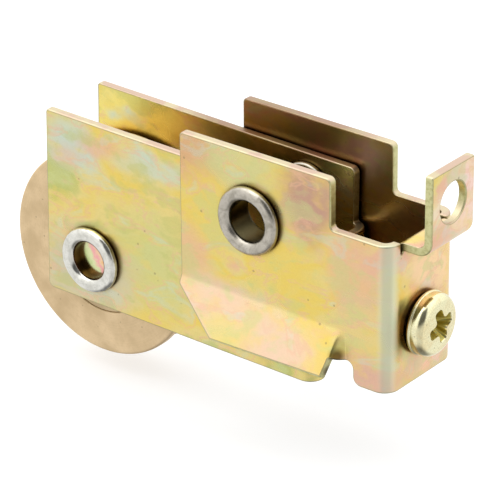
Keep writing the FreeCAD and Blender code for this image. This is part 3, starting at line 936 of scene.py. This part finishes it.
GOLD = (0.84, 0.64, 0.15)
STRAW = (0.81, 0.66, 0.25)
GREEN = (0.56, 0.57, 0.19)
PALE_GREEN = (0.61, 0.64, 0.27)
BLUE = (0.58, 0.70, 0.62)
PINK = (0.72, 0.43, 0.24)
ROSE = (0.82, 0.50, 0.33)
MAUVE = (0.56, 0.33, 0.25)
CREAM = (0.90, 0.80, 0.56)
BLUSH = (0.84, 0.60, 0.47)


def cloud_colors(n, base, patches, greener, seed):
    """Soft fields of interference colour with patches, contour streaks and small clouds."""
    broad = n.noise(0.075, 3, 0.5, 0.6, n.stretch((0.7, 1, 1.15), (seed, seed * 2, -seed)))
    wisps = n.noise(0.18, 4, 0.5, 0.6, n.stretch((0.7, 1, 1.3), (-seed, 3, seed)))
    drift = n.noise(0.12, 3, 0.55, 0.3, n.stretch((1, 1, 1), (-seed, 7, seed)), "Color")
    cloudy = n.wander(drift, 7.0)
    color = n.ramp(n.plus(broad, n.times(n.minus(wisps, 0.5), 0.45)), *base)
    for centre, size, squeeze, film, strength in patches:
        color = n.tint(color, n.spot(cloudy, centre, size, squeeze), strength, film)
    color = n.tint(color, n.band(n.gap(wisps, 0.56), 0.03, 0.0), 0.45, ROSE)
    color = n.tint(color, n.band(n.gap(wisps, 0.64), 0.07, 0.0), 0.30, BLUE)
    flow = n.noise(0.24, 3, 0.5, 0.25, n.stretch((0.75, 1, 1.2), (seed, 9, -seed)))
    color = n.tint(color, n.band(flow, 0.53, 0.63), 0.45, greener)
    color = n.tint(color, n.band(flow, 0.46, 0.34), 0.35, GOLD)
    cloud = n.noise(0.42, 3, 0.6, 0.3, n.stretch((0.8, 1, 1.2), (5, seed, seed)))
    color = n.tint(color, n.band(cloud, 0.55, 0.68), 0.22, greener)
    color = n.tint(color, n.band(cloud, 0.44, 0.32), 0.25, ROSE)
    return color, broad, flow


def surface_marks(n, color, mottle, grain, seed):
    """Mottling, grain, dark specks and thin scratches."""
    duller = n.mix(1.0, color, (1.0, 0.90, 0.84), "MULTIPLY")
    color = n.tint(color, n.band(mottle, 0.42, 0.75), 0.20, duller)
    color = n.grain(color, grain, 0.12, (0.3, 0.72), (0.7, 1.2))
    speck = n.cells(0.30, n.stretch((1, 1, 1), (seed, 0, 3)))
    color = n.tint(color, n.band(speck, 0.075, 0.04), 0.5, (0.26, 0.20, 0.11))
    scratch = n.noise(0.8, 2, 0.5, 0.0, n.stretch((0.16, 0.16, 2.0), (1, seed, 2)))
    scored = n.mix(1.0, color, (0.70, 0.67, 0.66), "MULTIPLY")
    return n.tint(color, n.band(n.gap(scratch, 0.5), 0.004, 0.001), 0.22, scored)


def edge_highlight(n, color, mottle, lit_edge):
    """Painted highlight: paler strip beside a straight edge of the blank."""
    along, up, reach = lit_edge
    blank = n.split(n.attribute("blank", "Vector"))
    height = n.plus(n.times(blank[0], along), n.times(blank[1], up))
    edge = n.plus(height, n.times(mottle, 0.5))
    return n.tint(color, n.band(edge, reach + 1.1, reach + 0.3), 0.6, BLUSH)


def cut_edges(n, color, mottle, flow):
    """Sheared edges with painted light: paler tan where they face up, darker olive at the sides, and a painted
    shadow line along them.
    """
    cut = n.attribute("cut_edge")
    amount = n.band(n.plus(cut, n.times(n.minus(mottle, 0.5), 0.5)), 0.35, 0.75)
    # painted light: cut edges that face up get the paler colour
    upward = n.band(n.normal()[2], 0.15, 0.75)
    shaded_side_cut = n.mix(n.band(mottle, 0.25, 0.6), (0.46, 0.44, 0.19), (0.66, 0.64, 0.34))
    lit_top_cut = n.mix(n.band(flow, 0.44, 0.58), (0.66, 0.57, 0.38), (0.62, 0.46, 0.35))
    color = n.mix(amount, color, n.mix(upward, shaded_side_cut, lit_top_cut))
    # painted shadow line where the face meets the cut edge
    line = n.times(n.band(n.gap(cut, 0.5), 0.45, 0.1), n.band(mottle, 0.30, 0.5))
    return n.tint(color, line, 0.65, (0.26, 0.18, 0.10)), amount


def painted_shading(n, color, painted_spots):
    """Painted shade in the hollows of the folded sheet and in narrow gaps, and local spots of painted shade,
    shadow, reflection and highlight.
    """
    x = n.split(n.where)[0]
    # painted shade deep inside the folds, fading out towards the wheel end
    color = n.hollow_shade(color, 14.0, (0.34, 0.24, 0.18), n.band(x, -34.0, -18.0))
    # painted contact shadows in narrow gaps, left off the end wall
    color = n.hollow_shade(color, 1.4, (0.30, 0.20, 0.12), n.band(x, 22.6, 20.6))
    # spots of painted shade, shadow, reflection and highlight
    for centre, size, squeeze, film, strength, how in painted_spots:
        color = n.tint(color, n.spot(n.where, centre, size, squeeze), strength, film, how)
    return color


def chromate(name, base, patches, greener, seed, painted_spots, lit_edge=None):
    """Zinc plated sheet under a yellow chromate film with cloudy interference colours, and painted light and shade
    at its edges, in its hollows and in spots.
    """
    n = Finish(name)
    color, broad, flow = cloud_colors(n, base, patches, greener, seed)
    mottle = n.noise(1.4, 4, 0.65, 0.2)
    grain = n.noise(7.0, 3, 0.7)
    color = surface_marks(n, color, mottle, grain, seed)
    # painted highlight strip along one straight edge
    if lit_edge is not None:
        color = edge_highlight(n, color, mottle, lit_edge)
    color, cut = cut_edges(n, color, mottle, flow)
    color = painted_shading(n, color, painted_spots)
    rough = n.plus(n.plus(0.22, n.times(broad, 0.12)), n.times(cut, 0.14))
    fine = n.bump(grain, 0.22, 0.02)
    return n.finish(color, rough, n.bump(n.noise(0.6, 2, 0.5), 0.22, 0.12, fine))


def bore_shade_and_floor(n, color, broad, radius, wall, film):
    """Painted shade on the wall inside a rolled rim, and bands of colour from a ramp on the floor of a near
    hollow.
    """
    floor = n.band(n.math("ABSOLUTE", n.normal()[1]), 0.6, 0.9)
    place = n.split(n.where)
    across = n.times(n.minus(place[0], AXLE_X), 0.15)
    upward = n.times(n.minus(place[2], AXLE_Z), 0.06)
    shift = n.times(n.minus(broad, 0.5), 0.5)
    tinted = n.ramp(n.plus(n.plus(across, upward), n.plus(shift, 0.5)), *film)
    # painted shade on the bore wall inside the rim
    inner = n.band(n.attribute("radius"), radius + 0.12, radius + 0.02)
    far_head = n.times(floor, n.band(place[1], 0.0, 1.0))
    inner = n.times(inner, n.minus(1.0, far_head))
    return n.mix(inner, color, n.mix(floor, wall, tinted))


def sunk_in_head(n, face, reach):
    """1 on the walls of the screw's recess."""
    place = n.split(n.where)
    rise = n.math("POWER", n.minus(place[2], SCREW_Z), 2.0)
    out = n.math("SQRT", n.plus(n.math("POWER", place[1], 2.0), rise))
    sunk = n.times(n.band(place[0], face - 0.16, face - 0.34),
                   n.band(out, reach + 0.1, reach - 0.1))
    return n.times(sunk, n.band(place[0], SCREW_SEAT + 0.2, SCREW_SEAT + 0.3))


def plated(name, bright, dull, roughness, scale=2.5, bump=0.4, bore=None, socket=None):
    """Silver or tan plated metal with uneven brightness, smears and a fine grain, and painted shade in its
    hollows, its bore and the screw's recess.
    """
    n = Finish(name)
    broad = n.noise(scale * 0.25, 4, 0.6, 0.5)
    fine = n.noise(scale * 3.0, 4, 0.7)
    color = n.ramp(broad, (0.3, dull), (0.65, bright))
    color = n.grain(color, fine, 0.25, (0.35, 0.6), (0.65, 1.15))
    speck = n.band(n.cells(scale * 0.5), 0.14, 0.06)
    color = n.tint(color, speck, 0.35, (0.16, 0.14, 0.11))
    shade_amount = 1.0
    if bore is not None:
        color = bore_shade_and_floor(n, color, broad, *bore)
    if socket is not None:
        face, reach, film = socket
        sunk = sunk_in_head(n, face, reach)
        # painted shade: the walls of the screw's recess get darker olive colours
        color = n.mix(sunk, color, n.ramp(fine, *film))
        roughness = n.plus(roughness, n.times(sunk, 0.25))
        shade_amount = 0.3
    # painted shade in hollows and at contacts, weaker in the screw's recess
    color = n.hollow_shade(color, 3.0, (0.5, 0.45, 0.38), shade_amount)
    rough = n.plus(roughness, n.times(n.minus(broad, 0.5), 0.15))
    return n.finish(color, rough, n.bump(fine, bump, 0.02))


def turned_finish(name, bright, dull, roughness, centre):
    """Turned steel: fine rings round the axis, with cloudy film and small marks."""
    n = Finish(name)
    flat = n.vector("MULTIPLY", n.vector("SUBTRACT", n.where, centre), (1, 0, 1))
    rings = n.add("ShaderNodeCombineXYZ")
    n.link(n.vector("LENGTH", flat), rings.inputs[0])
    groove = n.noise(5.0, 3, 0.7, 0.0, rings.outputs[0])
    broad = n.noise(0.22, 3, 0.5, 0.1)
    blotch = n.noise(3.2, 4, 0.75)
    color = n.ramp(broad, (0.3, dull), (0.7, bright))
    color = n.tint(color, n.band(blotch, 0.48, 0.68), 0.35, dull)
    color = n.grain(color, groove, 0.14, (0.3, 0.75), (0.7, 1.15))
    speck = n.band(n.cells(0.55), 0.09, 0.04)
    color = n.tint(color, speck, 0.5, (0.30, 0.22, 0.14))
    rough = n.plus(roughness, n.times(blotch, 0.12))
    return n.finish(color, rough, n.bump(groove, 0.15, 0.02))


def paint(obj, material):
    obj.data.materials.clear()
    obj.data.materials.append(material)


# ---- build ----------------------------------------------------------------------------------
housing = make_housing()
carrier = make_carrier()
near_eyelet = rolled_eyelet("near_rolled_eyelet", -1)
far_eyelet = rolled_eyelet("far_rolled_eyelet", 1)
axle = make_axle()
tyre = make_tyre()
screw = make_screw()

sheet_base = ((0.34, PALE_GREEN), (0.43, STRAW), (0.50, GOLD), (0.58, STRAW), (0.68, ROSE))
housing_patches = (
    ((-9.5, -8, 8), 8.0, (1, 0.3, 1), PINK, 0.9),
    ((-1.5, -8, 7.0), 7.5, (0.8, 0.3, 1.2), (0.68, 0.65, 0.30), 0.9),
    ((10.0, -8, 5.5), 8.0, (1.2, 0.3, 0.8), MAUVE, 0.95),
    ((-8.0, -8, -2), 8.0, (1, 0.3, 0.8), GOLD, 0.7),
    ((6.0, -8, -6), 8.0, (1, 0.3, 1), GOLD, 0.8),
    ((-11.5, -8, -8), 6.5, (1, 0.3, 1), ROSE, 0.7),
    ((18.5, -8, -3), 8.5, (1.3, 0.3, 0.6), ROSE, 0.75),
    ((19.0, -8, -12), 5.0, (1.3, 0.3, 0.6), STRAW, 0.6),
    ((20.5, -8, -18), 5.5, (0.8, 0.3, 1), (0.74, 0.45, 0.36), 0.9),
    ((-5.0, -9, -14), 7.0, (0.6, 0.3, 1.4), BLUSH, 0.8),
    ((-4.0, -10, -18), 5.0, (0.6, 0.3, 1.4), STRAW, 0.7),
    ((7.0, -10, -17.5), 8.0, (0.8, 0.3, 1.3), BLUSH, 0.85),
    ((24, 3, -4), 9.0, (0.3, 1, 0.8), (1.0, 0.70, 0.42), 0.85),
    ((24, 4, -17), 7.5, (0.3, 1, 1), (0.98, 0.56, 0.42), 0.8),
    ((28, 3, 8), 8.0, (0.3, 1, 1), (0.96, 0.71, 0.62), 0.9),
    ((28, -4, 8), 4.0, (0.3, 1, 1), CREAM, 0.8),
)
# direction and offset of the chamfered flap edge on the blank, where a painted highlight strip runs
FLAP_EDGE = (0.629, 0.777, -10.76)
# colours for painted shade and painted shadow
SHADE_BROWN = (0.45, 0.34, 0.26)
SHADOW_DARK = (0.16, 0.12, 0.10)
housing_painted_spots = (
    # painted shadows at the flap's joggle and beside its free end
    ((15.8, -9.0, -16.0), 1.6, (1, 1, 1), SHADOW_DARK, 0.9, "MULTIPLY"),
    ((15.0, -9.9, -18.2), 1.3, (1, 1, 1), SHADOW_DARK, 0.9, "MULTIPLY"),
    # painted shade on the inside of the far wall
    ((-8, 7.3, 7), 8.0, (0.7, 0.8, 0.8), SHADE_BROWN, 0.7, "MULTIPLY"),
    ((3, 7.3, 5), 8.0, (0.7, 0.8, 0.8), SHADE_BROWN, 0.8, "MULTIPLY"),
    # painted reflection of the screw head on the end wall, with its shade
    ((24, -5.5, SCREW_Z + 0.5), 3.4, (0.5, 1.3, 0.62), (0.42, 0.24, 0.12), 0.9, "MULTIPLY"),
    # painted reflection: pale grey-green streak down the near bend
    ((23.3, -7.3, -7), 2.3, (1.1, 1.1, 0.10), (0.70, 0.76, 0.56), 0.75, "MIX"),
)
housing_metal = chromate("chromate_housing", sheet_base, housing_patches, PALE_GREEN, 2.0,
                         housing_painted_spots, FLAP_EDGE)
carrier_base = ((0.34, PALE_GREEN), (0.42, GREEN), (0.50, STRAW), (0.58, GOLD), (0.68, STRAW))
carrier_patches = (
    ((-34, -6.5, 2), 8.0, (1, 0.3, 1.4), BLUE, 0.9),
    ((-35, -6.5, 0.5), 4.0, (1, 0.3, 1.6), ROSE, 0.5),
    ((-18, -6.5, 2), 6.0, (0.6, 0.3, 1.6), BLUE, 0.7),
    ((-29, -6.5, 3), 4.0, (0.6, 0.3, 1.8), ROSE, 0.7),
    ((-21, -6.5, -9), 7.0, (0.8, 0.3, 1), PALE_GREEN, 0.6),
    ((-27, -6.5, -6), 6.0, (0.7, 0.3, 1.2), STRAW, 0.6),
    ((-18, -6.5, -15), 7.0, (0.7, 0.3, 0.8), PALE_GREEN, 0.6),
    ((-32, -6.5, -18), 10.0, (0.7, 0.3, 1), (0.62, 0.57, 0.42), 0.9),
    ((-31, 6.5, 0), 13.0, (0.6, 1, 1), (0.92, 0.76, 0.20), 1.0),
    ((-33, 6.5, 1.5), 3.6, (0.6, 1, 1.8), BLUE, 0.9),
)
carrier_painted_spots = (
    # painted shade on the inside of the far plate
    ((-14, 5.9, 1), 9.0, (0.7, 1, 0.9), SHADE_BROWN, 0.85, "MULTIPLY"),
    ((-2, 5.9, 1), 9.0, (0.7, 1, 0.9), SHADE_BROWN, 0.7, "MULTIPLY"),
)
carrier_metal = chromate("chromate_carrier", carrier_base, carrier_patches, GREEN, 5.0,
                         carrier_painted_spots)
# painted shade for the eyelet's bore
dark_bore = ((0.3, (0.08, 0.07, 0.03)), (0.7, (0.14, 0.12, 0.05)))
eyelet_metal = plated("dull_rolled_steel", (0.55, 0.51, 0.44), (0.38, 0.35, 0.29), 0.24, 3.0, 0.8,
                      bore=(PIVOT_BORE, (0.10, 0.085, 0.04), dark_bore))
tinted = ((0.20, (0.50, 0.60, 0.26)), (0.46, (0.72, 0.76, 0.42)), (0.60, (0.90, 0.44, 0.42)),
          (0.72, (0.90, 0.62, 0.40)), (0.85, (0.88, 0.50, 0.20)))
# the rivet's socket wall gets painted shade, and its floor gets interference colours
rivet_metal = plated("bright_rolled_steel", (0.80, 0.79, 0.73), (0.64, 0.63, 0.57), 0.13, 3.0, 0.2,
                     bore=(SOCKET, (0.20, 0.09, 0.04), tinted))
wheel_metal = turned_finish("tan_turned_steel", (0.84, 0.66, 0.42), (0.68, 0.52, 0.31), 0.55,
                            (AXLE_X, 0, AXLE_Z))
# darker olive colours of painted shade for the screw's recess
recess_shade_olive = ((0.35, (0.46, 0.44, 0.10)), (0.5, (0.58, 0.44, 0.10)), (0.65, (0.42, 0.48, 0.20)))
screw_metal = plated("glossy_yellow_screw", (0.88, 0.84, 0.54), (0.83, 0.72, 0.42), 0.14, 1.6,
                     0.12, socket=(box_mm("adjusting_screw")[1][0], 2.85, recess_shade_olive))
bearing_metal = plated("ground_bearing_steel", (0.60, 0.58, 0.54), (0.45, 0.43, 0.40), 0.25)
shield_metal = turned_finish("tan_pressed_shield", (0.64, 0.50, 0.30), (0.52, 0.40, 0.24), 0.45,
                             (AXLE_X, 0, AXLE_Z))
ball_metal = plated("polished_ball_steel", (0.85, 0.85, 0.85), (0.75, 0.75, 0.75), 0.08, 1.5, 0.05)
cage_metal = plated("pressed_cage_steel", (0.62, 0.56, 0.42), (0.48, 0.42, 0.30), 0.4)

for node, metal in (
    ("near_axle_washer", rivet_metal), ("far_axle_washer", rivet_metal),
    ("near_race_cone", bearing_metal), ("far_race_cone", bearing_metal),
    ("bearing_outer_race", bearing_metal), ("near_bearing_shield", shield_metal),
    ("far_bearing_shield", shield_metal), ("bearing_balls", ball_metal),
    ("ball_cage", cage_metal), ("screw_washer", screw_metal),
):
    paint(frame["nodes"][node], metal)

for piece, metal, body, node, slot in (
    (housing, housing_metal, "housing", "housing", "zinc_yellow_sheet"),
    (carrier, carrier_metal, "carrier", "wheel_carrier", "zinc_yellow_sheet"),
    (near_eyelet, eyelet_metal, "housing", "near_pivot_eyelet", "eyelet_steel"),
    (far_eyelet, eyelet_metal, "housing", "far_pivot_eyelet", "eyelet_steel"),
    (axle, rivet_metal, "carrier", "axle_rivet", "rivet_steel"),
    (tyre, wheel_metal, "wheel", "wheel_tyre", "wheel_steel"),
    (screw, screw_metal, "screw", "adjusting_screw", "zinc_yellow_screw"),
):
    paint(piece, metal)
    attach(piece, body)
    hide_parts(node)


# ---- stage, light and camera ----------------------------------------------------------------
def make_floor():
    size = 3.0
    level = CAD_LOW[2] - 0.0032     # clear of the wheel when the carrier is fully lowered
    corners = [(-size, -size), (size, -size), (size, size), (-size, size)]
    floor = make_object("floor", [(x / MM, y / MM, level / MM) for x, y in corners], [(0, 1, 2, 3)])
    n = Finish("pale_floor")
    tone = n.ramp(n.noise(0.01, 2), (0.3, (0.46, 0.46, 0.46)), (0.7, (0.50, 0.50, 0.50)))
    n.put(n.shader.inputs["Emission Color"], (1.0, 1.0, 1.0))
    n.put(n.shader.inputs["Emission Strength"], 0.58)
    paint(floor, n.finish(tone, 0.9, None, 0.0))
    floor.visible_glossy = False


def make_world():
    """White studio with one dark side, where the camera stands; the camera itself sees white."""
    world = bpy.data.worlds.new("studio")
    bpy.context.scene.world = world
    world.use_nodes = True
    n = Nodes(world.node_tree)
    background = n.tree.nodes["Background"]
    ray = n.split(n.add("ShaderNodeTexCoord").outputs["Generated"])
    turn = n.math("ARCTAN2", ray[1], ray[0])
    rise = n.math("ARCSINE", ray[2])

    def fade(angle, low, high):
        """Soft step between two angles in degrees."""
        return n.band(angle, math.radians(low), math.radians(high))
    facing = fade(n.gap(turn, math.radians(-45)), 46, 26)
    dark = n.times(facing, fade(rise, 72, 56))
    dark = n.times(dark, n.plus(0.20, n.times(fade(rise, -8, 18), 0.70)))
    above = n.times(fade(rise, -12, 20), 0.22)
    below = n.times(fade(rise, -45, -75), -0.75)
    top = n.times(fade(rise, 24, 42), 0.30)
    level = n.times(n.minus(1.0, dark), n.plus(n.plus(1.0, top), n.plus(above, below)))
    seen = n.add("ShaderNodeLightPath").outputs["Is Camera Ray"]
    n.link(n.mix(seen, n.gray(level), (1.0, 1.0, 1.0)), background.inputs["Color"])
    background.inputs["Strength"].default_value = 1.0


def soft_light(name, place, target, size, power):
    lamp = bpy.data.lights.new(name, "AREA")
    lamp.shape = "RECTANGLE"
    lamp.size, lamp.size_y = size
    lamp.energy = power
    obj = bpy.data.objects.new(name, lamp)
    obj.location = place
    obj.rotation_mode = "QUATERNION"
    obj.rotation_quaternion = (Vector(target) - Vector(place)).to_track_quat("-Z", "Y")
    bpy.context.scene.collection.objects.link(obj)


def make_camera():
    turn, rise, roll = math.radians(37.93), math.radians(26.34), math.radians(-0.36)
    back = Vector((math.sin(turn) * math.cos(rise), -math.cos(turn) * math.cos(rise),
                   math.sin(rise)))
    right = Vector((math.cos(turn), math.sin(turn), 0))
    up = back.cross(right)
    place = right * -4.974 + up * -6.984 + back * 521.7
    tilted_right = right * math.cos(roll) + up * math.sin(roll)
    tilted_up = up * math.cos(roll) - right * math.sin(roll)
    lens = bpy.data.cameras.new("camera")
    lens.sensor_width = 36.0
    lens.lens = 267.7
    lens.clip_start, lens.clip_end = 0.05, 20.0
    camera = bpy.data.objects.new("camera", lens)
    turned_to = Matrix((tilted_right, tilted_up, back)).transposed().to_4x4()
    camera.matrix_world = Matrix.Translation(place * MM) @ turned_to
    bpy.context.scene.collection.objects.link(camera)
    bpy.context.scene.camera = camera


make_floor()
make_world()
soft_light("key", (-0.25, -0.20, 0.80), (0, 0, 0), (0.7, 0.7), 1.6)
make_camera()
bpy.context.scene.view_settings.view_transform = "Standard"
